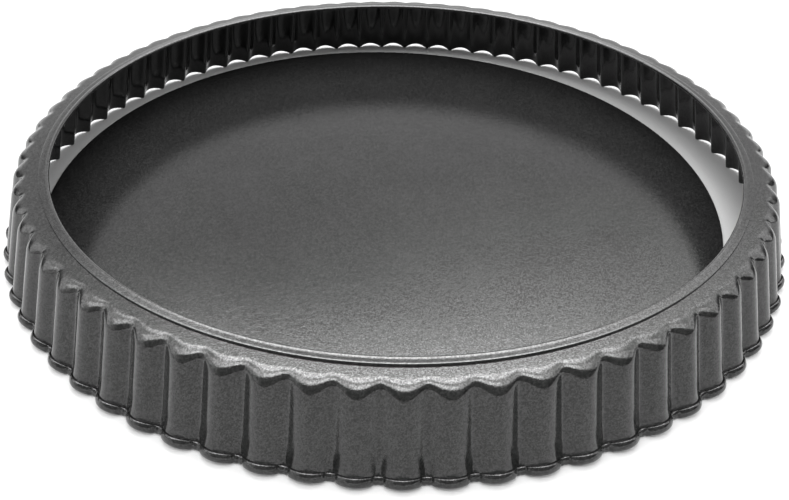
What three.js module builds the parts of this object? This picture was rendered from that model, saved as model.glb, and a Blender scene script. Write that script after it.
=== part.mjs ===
// Loose-base tart pan in coated steel sheet, standing upside down on its fluted rim.
//
// Two pressed pieces: the fluted ring, which is one sheet (hemmed lip, flange, fluted wall and
// rolled rim), and the loose base, a flat disc that is wider than the opening in the flange.
// The base lies loose on the table inside the ring, a little off centre, and seats against the
// underside of the flange when it is lifted.
//
// Millimetres, +Z up. The origin is the centre of the ring on the table plane.

import * as THREE from 'three';

// The ring's sheet and its flat parts.
const SHEET = 0.7; // thickness of the ring's sheet
const HEIGHT = 29.2; // table to the top of the lip
const OPENING_RADIUS = 125; // edge of the hole in the flange
const LIP_WIDTH = 3.3; // the lip is the sheet folded back on itself around the opening
const LIP_STEP = 0.7; // height of the lip above the flange

// The outside of the sheet in the valleys between the flutes, and along their crests. The
// flange bends down at its radius, and the foot is level with the bottom of the rolled rim. The
// rim touches the table in the valleys and lifts at the crests.
const VALLEY = {
  flangeRadius: 132,
  bendRadius: 2.9,
  footRadius: 142.65,
  footHeight: 0,
  rollHeight: 2.6,
};
const CREST = {
  flangeRadius: 132.9,
  bendRadius: 5,
  footRadius: 145.3,
  footHeight: 1.3,
  rollHeight: 3,
};

// The rolled rim, parallel to the wall.
const ROLL_PROUD = 1; // how far the roll stands out of the wall
const ROLL_CHAMFER = 0.5; // at the roll's lower outer edge

// The flutes: lobes that bulge outwards, with narrow flat valleys between them.
const FLUTE_COUNT = 72;
const LOBE_SHARE = 0.9; // part of the pitch that a lobe takes
const CHORDS_PER_LOBE = 4;

// The loose base.
const BASE_RADIUS = 131;
const BASE_THICKNESS = 0.8;
const BASE_CHAMFER = 0.2;
const BASE_SIDES = 120;
const BASE_OFFSET = new THREE.Vector2(-4.6, 2.9); // how far off centre it lies

// Dark non-stick coating.
const RING_COLOR = 0x4b4c4e;
const BASE_COLOR = 0x434446;
const COATING_ROUGHNESS = 0.45;
const COATING_METALNESS = 0.55;

const FLANGE_TOP = HEIGHT - LIP_STEP;
const BEND_STEPS = 2;

function coating(color) {
  return new THREE.MeshStandardMaterial({
    color,
    roughness: COATING_ROUGHNESS,
    metalness: COATING_METALNESS,
  });
}

// Lean of the wall away from upright, for a wall that runs from its foot into the bend.
function wallFlare({ flangeRadius, bendRadius, footRadius, footHeight }) {
  const across = footRadius - flangeRadius;
  const down = FLANGE_TOP - bendRadius - footHeight;
  return Math.acos(bendRadius / Math.hypot(across, down)) - Math.atan2(down, across);
}

// One face of the bend, as an arc from the wall (start of the list) to the level flange (end).
function bendArc(profile, depthInSheet) {
  const fullTurn = Math.PI / 2 - wallFlare(profile);
  const arcRadius = profile.bendRadius - depthInSheet;
  const points = [];
  for (let step = 0; step <= BEND_STEPS; step += 1) {
    const turn = fullTurn * (1 - step / BEND_STEPS);
    const radius = profile.flangeRadius + arcRadius * Math.sin(turn);
    const height = FLANGE_TOP - profile.bendRadius + arcRadius * Math.cos(turn);
    points.push(new THREE.Vector2(radius, height));
  }
  return points;
}

// The ring's closed section, anticlockwise with the radius to the right and the height up.
function ringSection(profile) {
  const { footRadius, footHeight, rollHeight } = profile;
  const flare = wallFlare(profile);
  const rollPoint = (height, out) =>
    new THREE.Vector2(footRadius - height * Math.tan(flare) + out, footHeight + height);
  const lipRadius = OPENING_RADIUS + LIP_WIDTH;
  return [
    rollPoint(0, -SHEET / Math.cos(flare)),
    rollPoint(0, ROLL_PROUD - ROLL_CHAMFER),
    rollPoint(ROLL_CHAMFER, ROLL_PROUD),
    rollPoint(rollHeight, ROLL_PROUD),
    rollPoint(rollHeight, 0),
    ...bendArc(profile, 0),
    new THREE.Vector2(lipRadius, FLANGE_TOP),
    new THREE.Vector2(lipRadius, HEIGHT),
    new THREE.Vector2(OPENING_RADIUS, HEIGHT),
    new THREE.Vector2(OPENING_RADIUS, FLANGE_TOP - SHEET),
    ...bendArc(profile, SHEET).reverse(),
  ];
}

// Columns of the ring: the corners of each lobe's chords. A lobe's crest lies on the -Y axis.
function fluteColumns() {
  const pitch = (2 * Math.PI) / FLUTE_COUNT;
  const columns = [];
  for (let flute = 0; flute < FLUTE_COUNT; flute += 1) {
    for (let corner = 0; corner <= CHORDS_PER_LOBE; corner += 1) {
      const across = (2 * corner) / CHORDS_PER_LOBE - 1; // -1 and 1 at the sides of the lobe
      const angle = (flute + (across * LOBE_SHARE) / 2) * pitch - Math.PI / 2;
      columns.push({ angle, bulge: 1 - across * across });
    }
  }
  return columns;
}

// A turned ring of the valley section, with each column moved towards the crest section by its
// place across the lobe.
function flutedRing() {
  const valley = ringSection(VALLEY);
  const crest = ringSection(CREST);
  const columns = fluteColumns();
  const geometry = new THREE.LatheGeometry([...valley, valley[0]], columns.length);
  const position = geometry.getAttribute('position');
  const rows = valley.length + 1; // the first point is repeated, to close the section
  const point = new THREE.Vector2();
  for (let index = 0; index < position.count; index += 1) {
    const { angle, bulge } = columns[Math.floor(index / rows) % columns.length];
    const row = (index % rows) % valley.length;
    point.lerpVectors(valley[row], crest[row], bulge);
    position.setXYZ(index, point.x * Math.cos(angle), point.x * Math.sin(angle), point.y);
  }
  geometry.computeVertexNormals();
  const mesh = new THREE.Mesh(geometry, coating(RING_COLOR));
  mesh.name = 'fluted_ring';
  return mesh;
}

// The loose base, a flat disc with its edges broken, lying on the table.
function looseBase() {
  const rim = BASE_RADIUS - BASE_CHAMFER;
  const outline = [
    new THREE.Vector2(0, 0),
    new THREE.Vector2(rim, 0),
    new THREE.Vector2(BASE_RADIUS, BASE_CHAMFER),
    new THREE.Vector2(BASE_RADIUS, BASE_THICKNESS - BASE_CHAMFER),
    new THREE.Vector2(rim, BASE_THICKNESS),
    new THREE.Vector2(0, BASE_THICKNESS),
  ];
  const geometry = new THREE.LatheGeometry(outline, BASE_SIDES);
  geometry.rotateX(Math.PI / 2); // from the lathe's +Y axis to +Z
  const mesh = new THREE.Mesh(geometry, coating(BASE_COLOR));
  mesh.name = 'loose_base';
  mesh.position.set(BASE_OFFSET.x, BASE_OFFSET.y, 0);
  return mesh;
}

const tartPan = new THREE.Group();
tartPan.add(flutedRing(), looseBase());

export default tartPan;
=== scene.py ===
"""A tart pan with a loose base, upside down on a pale floor.

The CAD frame gives the bodies and the base's size and place. The ring's lengths below repeat the
CAD's, with finer detail at the lip, the roll and the flutes. This script builds the sheet-metal
surfaces of both pieces, their non-stick coating, the floor, the lights and the camera.
Lengths named *_MM are millimetres; everything placed in the scene is in metres.
"""

import math

import bpy
import numpy as np
from mathutils import Matrix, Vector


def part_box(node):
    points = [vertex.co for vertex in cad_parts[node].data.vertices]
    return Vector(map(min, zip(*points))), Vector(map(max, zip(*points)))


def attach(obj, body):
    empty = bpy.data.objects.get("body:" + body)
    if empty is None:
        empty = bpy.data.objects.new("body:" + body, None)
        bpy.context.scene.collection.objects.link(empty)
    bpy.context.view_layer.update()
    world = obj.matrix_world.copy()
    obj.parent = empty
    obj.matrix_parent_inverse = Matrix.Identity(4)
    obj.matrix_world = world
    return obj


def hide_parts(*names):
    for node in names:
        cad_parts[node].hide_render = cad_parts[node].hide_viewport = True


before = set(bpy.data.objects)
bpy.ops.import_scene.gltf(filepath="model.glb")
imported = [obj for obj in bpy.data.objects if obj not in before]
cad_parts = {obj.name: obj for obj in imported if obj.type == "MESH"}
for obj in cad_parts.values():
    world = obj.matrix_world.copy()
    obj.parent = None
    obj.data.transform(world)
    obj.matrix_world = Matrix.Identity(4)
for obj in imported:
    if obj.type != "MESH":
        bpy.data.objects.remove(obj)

MM = 0.001

# The ring's sheet: its flat flange is bent down to a wall that ends in a rolled rim.
SHEET_MM = 0.7
HEIGHT_MM = 29.2
ROLL_PROUD_MM = 1.0
ROLL_GAP_MM = 0.4
ROLL_GAP_DEPTH_MM = 1.1
FLANGE_EASE_MM = 0.4

# The section in the valleys between the flutes, and the one along their crests. The foot is
# the point of the outer face level with the bottom of the roll, which the crests lift.
VALLEY = dict(
    flange_radius_mm=132.0, bend_mm=2.9, foot_radius_mm=142.65, foot_height_mm=0.0, roll_height_mm=2.6
)
CREST = dict(
    flange_radius_mm=132.9, bend_mm=5.0, foot_radius_mm=145.3, foot_height_mm=1.3, roll_height_mm=3.0
)

# The flutes. Across a flute, 0 is its crest and 0.5 the valley on either side. The columns of
# the mesh are even from -1 to 1 and are then moved closer together in the valleys.
FLUTE_COUNT = 72
COLUMNS_PER_FLUTE = 26
CREST_COLUMNS = 0.4
CREST_SHARE = 0.34
# The lobes are soft at the flange and sharpen towards the rim, faster with a higher power.
LOBE_SHARPNESS_TOP = 2.0
LOBE_SHARPNESS_RIM = 7.0
SHARPENING_POWER = 8

# Each end of a lobe of the rolled rim is pinched, beside a small bead in the valley.
PINCH_PLACE = 0.405
PINCH_WIDTH = 0.03
PINCH_PROUD_MM = 0.5

# The lip: the sheet folded back on itself round the opening, its cut edge facing outwards.
OPENING_RADIUS_MM = 125.0
LIP_WIDTH_MM = 3.3
LIP_STEP_MM = 0.7
LIP_BEAD_MM = 0.08
LIP_BEAD_WIDTH_MM = 0.7
LIP_EDGE_ROUND_MM = 0.12
LIP_SINK_MM = 0.05
LIP_LAP_MM = 1.0
LIP_LEAN_DEGREES = 3.0
LIP_WAVES = 4
LIP_SEGMENTS = 720

# The loose base. Each face is closed by a small flat patch in the middle.
BASE_ROUND_MM = 0.3
BASE_RINGS = 40
BASE_UNDER_STEP = 6
BASE_PATCH_SHARE = 0.02
BASE_SEGMENTS = 360

# The coating. Scales are features per metre. The flakes brighten both the reflection and, a
# little, the colour. The top of the lip is worn.
RING_TONE = 0.006
BASE_TONE = 0.005
SHEEN = 0.5
COATING_ROUGHNESS = 0.13
COATING_VARIATION = 0.1
GRAIN_SCALE = 3200.0
GRAIN_DEPTH_MM = 0.02
PEEL_SCALE = 700.0
PEEL_DEPTH_MM = 0.02
MOTTLE_SCALE = 40.0
NOISE_RANGE = (0.3, 0.7)
FLAKE_SCALE = 3000.0
FLAKE_SPREAD = 0.3
FLAKE_TONE = 0.008
FLAKE_RANGE = (0.2, 0.8)
SPARKLE_RANGE = (0.4, 0.8)
WEAR_DEPTH_MM = 0.06
WEAR_TONE = 0.01
WEAR_POLISH = 0.02

# The studio. Seen from the pan, tilt runs from 0 at the horizon behind it over the top to 180 at
# the horizon on the camera's side, and side from -90 at the left to 90 at the right. Each soft
# box has its limits of tilt, its limits of side and its strength. Where boxes overlap, they add up.
# The strengths started as a computed fit to one picture's greys, with more boxes, and were then
# merged, rounded and adjusted. The floor is a mid tone that renders pale in this light.
FLOOR_TONE = 0.3
FLOOR_ROUGHNESS = 0.9
FLOOR_SIZE = 8.0
FIBRE_SCALE = 900.0
FIBRE_CONTRAST = 0.01
BACKDROP = 1.2
TILT_SOFTNESS = 6.0
SIDE_SOFTNESS = 10.0
SOFT_BOXES = {
    "low_back": ((0, 23), (-48, 48), 1.6),
    "lower": ((23, 38), (-48, 48), 0.7),
    "mid_right": ((38, 47), (0, 48), 2.8),
    "mid_left": ((38, 47), (-48, 0), 0.9),
    "overhead": ((47, 121), (-90, 90), 2.5),
    "back_key": ((47, 81), (-20, 20), 11.5),
    "top": ((81, 121), (-48, 48), 3.0),
    "top_left": ((81, 121), (-48, -20), 2.0),
    "front_key": ((98, 121), (-20, 20), 7.0),
    "camera_side": ((121, 180), (-48, 48), 0.3),
    "left_front": ((121, 180), (-90, -48), 1.2),
}

# The camera, found by fitting the pan's circles. Its distance is measured along the floor.
CAMERA_DISTANCE = 0.268
CAMERA_HEIGHT = 0.1704
CAMERA_AZIMUTH = math.radians(1.44)
CAMERA_PITCH = 0.6464
CAMERA_ROLL = 0.0253
CAMERA_LENS = 35.79
SENSOR_WIDTH = 36.0
CLIP_START = 0.01

FLANGE_TOP_MM = HEIGHT_MM - LIP_STEP_MM


def arc(centre, radius, start, end, steps):
    """Points (radius, height) along an arc of a section, angles in degrees from outwards."""
    angles = np.radians(np.linspace(start, end, steps + 1))
    return [(centre[0] + radius * math.cos(a), centre[1] + radius * math.sin(a)) for a in angles]


def straight(start, end, steps):
    """Points along a straight stretch of a section, without its two ends."""
    shares = np.arange(1, steps) / steps
    return [tuple(np.array(start) * (1 - s) + np.array(end) * s) for s in shares]


def rolled_rim(foot, flare, roll_height, proud):
    """The roll from the inner face of the wall, under, up its outside and down into the gap."""
    size = proud / ROLL_PROUD_MM
    gap = ROLL_GAP_MM * size

    def beside_wall(along, out):
        """The point this far up the wall from the foot and this far out of its face."""
        radius = foot[0] - along * math.sin(flare) + out * math.cos(flare)
        return radius, foot[1] + along * math.cos(flare) + out * math.sin(flare)

    half_width = (proud + SHEET_MM) / 2
    middle = (proud - SHEET_MM) / 2
    lowest = (half_width - middle * math.sin(flare)) / math.cos(flare) - half_width
    half_height = (roll_height / math.cos(flare) - lowest) / 2
    mouth = math.degrees(math.acos((gap - middle) / half_width))
    degrees = math.degrees(flare)
    inner = arc(
        beside_wall(lowest + half_width, middle), half_width, degrees + 180, degrees + 270, steps=4
    )
    bead = [
        beside_wall(lowest + half_height * (1 + math.sin(a)), middle + half_width * math.cos(a))
        for a in np.radians(np.linspace(-90, mouth, 13))[1:]
    ]
    depth = roll_height / math.cos(flare) - ROLL_GAP_DEPTH_MM
    floor_of_gap = arc(beside_wall(depth, gap / 2), gap / 2, degrees, degrees - 180, steps=2)
    return inner + bead + floor_of_gap


def ring_section(
    flange_radius_mm, bend_mm, foot_radius_mm, foot_height_mm, roll_height_mm, proud=ROLL_PROUD_MM
):
    """The sheet's closed section, from the roll up the outside and back along the inside."""
    across = foot_radius_mm - flange_radius_mm
    down = FLANGE_TOP_MM - bend_mm - foot_height_mm
    flare = math.acos(bend_mm / math.hypot(across, down)) - math.atan2(down, across)
    degrees = math.degrees(flare)
    centre = (flange_radius_mm, FLANGE_TOP_MM - bend_mm)
    inner_edge = OPENING_RADIUS_MM + SHEET_MM
    rim = rolled_rim((foot_radius_mm, foot_height_mm), flare, roll_height_mm, proud)
    outer_bend = arc(centre, bend_mm, degrees, 90, steps=9)
    under_lip = OPENING_RADIUS_MM + LIP_WIDTH_MM - LIP_LAP_MM
    flange = [(r, FLANGE_TOP_MM) for r in (flange_radius_mm - FLANGE_EASE_MM, under_lip, inner_edge)]
    underside = [(inner_edge, FLANGE_TOP_MM - SHEET_MM)]
    inner_bend = arc(centre, bend_mm - SHEET_MM, 90, degrees, steps=6)
    outer_wall = straight(rim[-1], outer_bend[0], steps=8)
    inner_wall = straight(inner_bend[-1], rim[0], steps=6)
    return np.array(rim + outer_wall + outer_bend + flange + underside + inner_bend + inner_wall)


def lobe(across, sharpness):
    """Bulge of a lobe, 1 on its crest, that meets its neighbours in a rounded valley, 0."""
    near = np.exp(sharpness * (1 - 4 * across**2))
    far = np.exp(sharpness * (1 - 4 * (1 - np.abs(across)) ** 2))
    valley = math.log(2) / sharpness
    return (np.log(near + far) / sharpness - valley) / (1 - valley)


def pinch(across):
    """Depth of the two pinches of a lobe, 1 at the middle of each."""
    return np.exp(-(((np.abs(across) - PINCH_PLACE) / PINCH_WIDTH) ** 2))


def mesh_object(name, points, faces):
    """A smooth-shaded object in the scene, from points and the faces between them."""
    mesh = bpy.data.meshes.new(name)
    mesh.from_pydata(points.reshape(-1, 3).tolist(), [], faces)
    mesh.validate()
    mesh.shade_smooth()
    piece = bpy.data.objects.new(name, mesh)
    bpy.context.scene.collection.objects.link(piece)
    return piece


def turned_surface(name, points):
    """A closed surface from points[row, column]: a closed section turned through a full circle."""
    rows, columns = points.shape[:2]
    faces = []
    for row in range(rows):
        this, following = row * columns, (row + 1) % rows * columns
        for column in range(columns):
            next_column = (column + 1) % columns
            near = (this + column, this + next_column)
            far = (following + next_column, following + column)
            faces.append(near + far)
    return mesh_object(name, points, faces)


def turn(section, angles):
    """points[row, column] in metres, from each column's own section[row] (radius, height)."""
    radius, height = section[..., 0] * MM, section[..., 1] * MM
    return np.stack([radius * np.cos(angles), radius * np.sin(angles), height], axis=-1)


def fluted_sheet():
    """The flange, the fluted wall and the rolled rim, as a blend of the valley and crest sections."""
    valley, crest = ring_section(**VALLEY), ring_section(**CREST)
    pinched = ring_section(**VALLEY, proud=PINCH_PROUD_MM)
    even = np.arange(COLUMNS_PER_FLUTE) * 2 / COLUMNS_PER_FLUTE - 1
    even_stops = (-1, -CREST_COLUMNS, CREST_COLUMNS, 1)
    across = np.interp(even, even_stops, (-0.5, -CREST_SHARE, CREST_SHARE, 0.5))
    flutes = np.arange(FLUTE_COUNT)
    angles = ((flutes[:, None] + across) * 2 * math.pi / FLUTE_COUNT - math.pi / 2).ravel()
    soft = np.tile(lobe(across, LOBE_SHARPNESS_TOP), FLUTE_COUNT)[:, None]
    sharp = np.tile(lobe(across, LOBE_SHARPNESS_RIM), FLUTE_COUNT)[:, None]
    down = np.clip(1 - valley[:, None, 1:] / FLANGE_TOP_MM, 0, 1)
    bulge = soft + (sharp - soft) * down**SHARPENING_POWER
    pinching = np.tile(pinch(across), FLUTE_COUNT)[:, None]
    section = valley[:, None] + bulge * (crest - valley)[:, None]
    section = section + pinching * (pinched - valley)[:, None]
    return turned_surface("ring_sheet", turn(section, angles))


def lip_section(lean):
    """The lip's closed section, from its cut edge over the top and round the fold to its underside.

    The fold stands a little proud, as a bead, and the rest leans outwards by the angle lean.
    """
    cut = OPENING_RADIUS_MM + LIP_WIDTH_MM
    under = FLANGE_TOP_MM - SHEET_MM - LIP_SINK_MM
    fold = (HEIGHT_MM - under) / 2
    bead = OPENING_RADIUS_MM + fold
    foot = bead + LIP_BEAD_WIDTH_MM
    level = HEIGHT_MM - LIP_BEAD_MM
    outer = level - (cut - foot) * math.tan(lean)
    corner = (cut - LIP_EDGE_ROUND_MM, outer - LIP_EDGE_ROUND_MM)
    edge = arc(corner, LIP_EDGE_ROUND_MM, 0, 90, steps=4)
    shares = np.linspace(0, 1, 7)[:-1]
    rise = [
        (foot - LIP_BEAD_WIDTH_MM * s, level + LIP_BEAD_MM * (1 - math.cos(math.pi * s)) / 2)
        for s in shares
    ]
    fold_arc = arc((bead, under + fold), fold, 90, 270, steps=10)
    lap = cut - LIP_LAP_MM
    rest = FLANGE_TOP_MM - LIP_SINK_MM
    inside = [(lap, under), (lap, rest), (cut, rest)]
    return edge + straight(edge[-1], rise[0], steps=3) + rise + fold_arc + inside


def folded_lip():
    """The lip: its lean changes slowly round the ring, as a pressed fold is never quite level."""
    angles = np.linspace(0, 2 * math.pi, LIP_SEGMENTS, endpoint=False)
    leans = math.radians(LIP_LEAN_DEGREES) * -np.cos(LIP_WAVES * angles)
    sections = np.array([lip_section(lean) for lean in leans])
    return turned_surface("ring_lip", turn(sections.transpose(1, 0, 2), angles))


def base_plate():
    """The base: a thin flat disc with rounded edges, where the frame puts it."""
    low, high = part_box("loose_base")
    centre = (low + high) / 2
    radius, thickness = (high.x - low.x) / 2, high.z - low.z
    soft = BASE_ROUND_MM * MM
    flat = np.linspace(BASE_PATCH_SHARE, 1, BASE_RINGS) * (radius - soft)
    top = [(r, thickness) for r in flat[:-1]]
    top_edge = arc((radius - soft, thickness - soft), soft, 90, 0, steps=4)
    under_edge = arc((radius - soft, soft), soft, 0, -90, steps=4)
    under = [(r, 0.0) for r in flat[-2::-BASE_UNDER_STEP]]
    section = np.array(top + top_edge + under_edge + under)
    angles = np.linspace(0, 2 * math.pi, BASE_SEGMENTS, endpoint=False)
    x = section[:, :1] * np.cos(angles) + centre.x
    y = section[:, :1] * np.sin(angles) + centre.y
    z = np.repeat(section[:, 1:], BASE_SEGMENTS, axis=1)
    points = np.stack([x, y, z], axis=-1).reshape(-1, 3)
    rows = len(section)
    faces = []
    for row in range(rows - 1):
        for column in range(BASE_SEGMENTS):
            next_column = (column + 1) % BASE_SEGMENTS
            a, b = row * BASE_SEGMENTS + column, row * BASE_SEGMENTS + next_column
            faces.append((a, a + BASE_SEGMENTS, b + BASE_SEGMENTS, b))
    last = (rows - 1) * BASE_SEGMENTS
    faces.append(tuple(range(BASE_SEGMENTS)))
    faces.append(tuple(last + i for i in reversed(range(BASE_SEGMENTS))))
    return mesh_object("base", points, faces)


class Shading:
    """A few helpers for wiring the nodes of one material or world."""

    def __init__(self, owner):
        owner.use_nodes = True
        self.nodes = owner.node_tree.nodes
        self.links = owner.node_tree.links

    def node(self, kind, vector=None, **inputs):
        """A new node, with its vector linked and its other inputs set."""
        made = self.nodes.new(kind)
        if vector is not None:
            self.links.new(vector, made.inputs["Vector"])
        for name, value in inputs.items():
            made.inputs[name.replace("_", " ")].default_value = value
        return made

    def math(self, operation, a, b):
        """One operation on two values, each a number or another node's output."""
        made = self.nodes.new("ShaderNodeMath")
        made.operation = operation
        for socket, value in zip(made.inputs, (a, b)):
            if isinstance(value, (int, float)):
                socket.default_value = value
            else:
                self.links.new(value, socket)
        return made.outputs["Value"]

    def degrees(self, value):
        return self.math("MULTIPLY", value, 180 / math.pi)

    def remap(self, value, low, high, to_low, to_high, smooth=False):
        """The value moved from one range to another, straight or with soft ends."""
        made = self.nodes.new("ShaderNodeMapRange")
        made.interpolation_type = "SMOOTHSTEP" if smooth else "LINEAR"
        self.links.new(value, made.inputs["Value"])
        limits = zip(("From Min", "From Max", "To Min", "To Max"), (low, high, to_low, to_high))
        for name, number in limits:
            made.inputs[name].default_value = number
        return made.outputs["Result"]

    def grey(self, value):
        """A value as a grey colour."""
        made = self.nodes.new("ShaderNodeCombineColor")
        for channel in ("Red", "Green", "Blue"):
            self.links.new(value, made.inputs[channel])
        return made.outputs["Color"]


def coating(name, tone):
    """Dark non-stick coating: satin, with the grain of sprayed enamel and fine bright flakes."""
    material = bpy.data.materials.new(name)
    wire = Shading(material)
    shader = wire.nodes["Principled BSDF"]
    place = wire.node("ShaderNodeTexCoord").outputs["Object"]
    grain = wire.node("ShaderNodeTexNoise", place, Scale=GRAIN_SCALE, Detail=1.0).outputs["Fac"]
    orange_peel = wire.node("ShaderNodeTexNoise", place, Scale=PEEL_SCALE, Detail=1.0).outputs["Fac"]
    mottle = wire.node("ShaderNodeTexNoise", place, Scale=MOTTLE_SCALE, Detail=3.0).outputs["Fac"]
    flakes = wire.node("ShaderNodeTexVoronoi", place, Scale=FLAKE_SCALE).outputs["Color"]
    height = wire.node("ShaderNodeSeparateXYZ", place).outputs["Z"]
    worn = wire.remap(height, (HEIGHT_MM - WEAR_DEPTH_MM) * MM, HEIGHT_MM * MM, 0.0, 1.0)

    less, more = 1 - COATING_VARIATION, 1 + COATING_VARIATION
    tint = wire.remap(mottle, *NOISE_RANGE, tone * less, tone * more)
    sparkle = wire.remap(flakes, *SPARKLE_RANGE, 0.0, FLAKE_TONE)
    tint = wire.math("ADD", tint, sparkle)
    tint = wire.math("ADD", tint, wire.math("MULTIPLY", worn, WEAR_TONE))
    wire.links.new(wire.grey(tint), shader.inputs["Base Color"])

    rough = wire.remap(mottle, *NOISE_RANGE, COATING_ROUGHNESS * less, COATING_ROUGHNESS * more)
    rough = wire.math("SUBTRACT", rough, wire.math("MULTIPLY", worn, WEAR_POLISH))
    wire.links.new(rough, shader.inputs["Roughness"])
    dull, bright = SHEEN * (1 - FLAKE_SPREAD), SHEEN * (1 + FLAKE_SPREAD)
    level = wire.remap(flakes, *FLAKE_RANGE, dull, bright)
    wire.links.new(level, shader.inputs["Specular IOR Level"])

    peel = wire.node("ShaderNodeBump", Strength=1.0, Distance=PEEL_DEPTH_MM * MM)
    wire.links.new(orange_peel, peel.inputs["Height"])
    bump = wire.node("ShaderNodeBump", Strength=1.0, Distance=GRAIN_DEPTH_MM * MM)
    wire.links.new(grain, bump.inputs["Height"])
    wire.links.new(peel.outputs["Normal"], bump.inputs["Normal"])
    wire.links.new(bump.outputs["Normal"], shader.inputs["Normal"])
    return material


def floor():
    """A plain sheet of paper under the pan, which renders pale in the studio's light."""
    material = bpy.data.materials.new("floor_paper")
    wire = Shading(material)
    shader = wire.nodes["Principled BSDF"]
    place = wire.node("ShaderNodeTexCoord").outputs["Object"]
    fibre = wire.node("ShaderNodeTexNoise", place, Scale=FIBRE_SCALE, Detail=2.0).outputs["Fac"]
    dark, light = FLOOR_TONE * (1 - FIBRE_CONTRAST), FLOOR_TONE * (1 + FIBRE_CONTRAST)
    tint = wire.remap(fibre, *NOISE_RANGE, dark, light)
    wire.links.new(wire.grey(tint), shader.inputs["Base Color"])
    shader.inputs["Roughness"].default_value = FLOOR_ROUGHNESS
    bpy.ops.mesh.primitive_plane_add(size=FLOOR_SIZE, location=(0, 0, 0))
    plane = bpy.context.object
    plane.name = "floor"
    plane.data.materials.append(material)


def studio():
    """The soft boxes, as soft-edged patches of a dark world, and a white backdrop for the camera."""
    world = bpy.data.worlds.new("studio")
    bpy.context.scene.world = world
    wire = Shading(world)
    direction = wire.node("ShaderNodeTexCoord").outputs["Generated"]
    axes = wire.node("ShaderNodeSeparateXYZ", direction).outputs
    tilt = wire.degrees(wire.math("ARCTAN2", axes["Z"], axes["Y"]))
    side = wire.degrees(wire.math("ARCSINE", axes["X"], 0))

    def within(angle, limits, softness):
        low, high = limits
        rising = wire.remap(angle, low - softness, low + softness, 0, 1, smooth=True)
        falling = wire.remap(angle, high - softness, high + softness, 1, 0, smooth=True)
        return wire.math("MULTIPLY", rising, falling)

    light = 0.0
    for tilts, sides, strength in SOFT_BOXES.values():
        patch = wire.math(
            "MULTIPLY", within(tilt, tilts, TILT_SOFTNESS), within(side, sides, SIDE_SOFTNESS)
        )
        light = wire.math("ADD", light, wire.math("MULTIPLY", patch, strength))
    seen = wire.node("ShaderNodeLightPath").outputs["Is Camera Ray"]
    light = wire.math("MAXIMUM", light, wire.math("MULTIPLY", seen, BACKDROP))
    background = wire.nodes["Background"]
    background.inputs["Color"].default_value = (1, 1, 1, 1)
    wire.links.new(light, background.inputs["Strength"])


def camera():
    """The camera, in front of the pan and looking down at it."""
    data = bpy.data.cameras.new("camera")
    data.lens = CAMERA_LENS
    data.sensor_width = SENSOR_WIDTH
    data.clip_start = CLIP_START
    eye = bpy.data.objects.new("camera", data)
    bpy.context.scene.collection.objects.link(eye)
    swing = Matrix.Rotation(-CAMERA_AZIMUTH, 4, "Z")
    place = Matrix.Translation((0, -CAMERA_DISTANCE, CAMERA_HEIGHT))
    tilt = Matrix.Rotation(math.pi / 2 - CAMERA_PITCH, 4, "X")
    roll = Matrix.Rotation(CAMERA_ROLL, 4, "Z")
    eye.matrix_world = swing @ place @ tilt @ roll
    bpy.context.scene.camera = eye


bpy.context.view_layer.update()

ring_finish = coating("ring_coating", RING_TONE)
for piece in (fluted_sheet(), folded_lip()):
    piece.data.materials.append(ring_finish)
    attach(piece, "ring")
    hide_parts("fluted_ring")

base = base_plate()
base.data.materials.append(coating("base_coating", BASE_TONE))
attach(base, "base")
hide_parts("loose_base")

floor()
studio()
camera()
bpy.context.scene.view_settings.view_transform = "Standard"
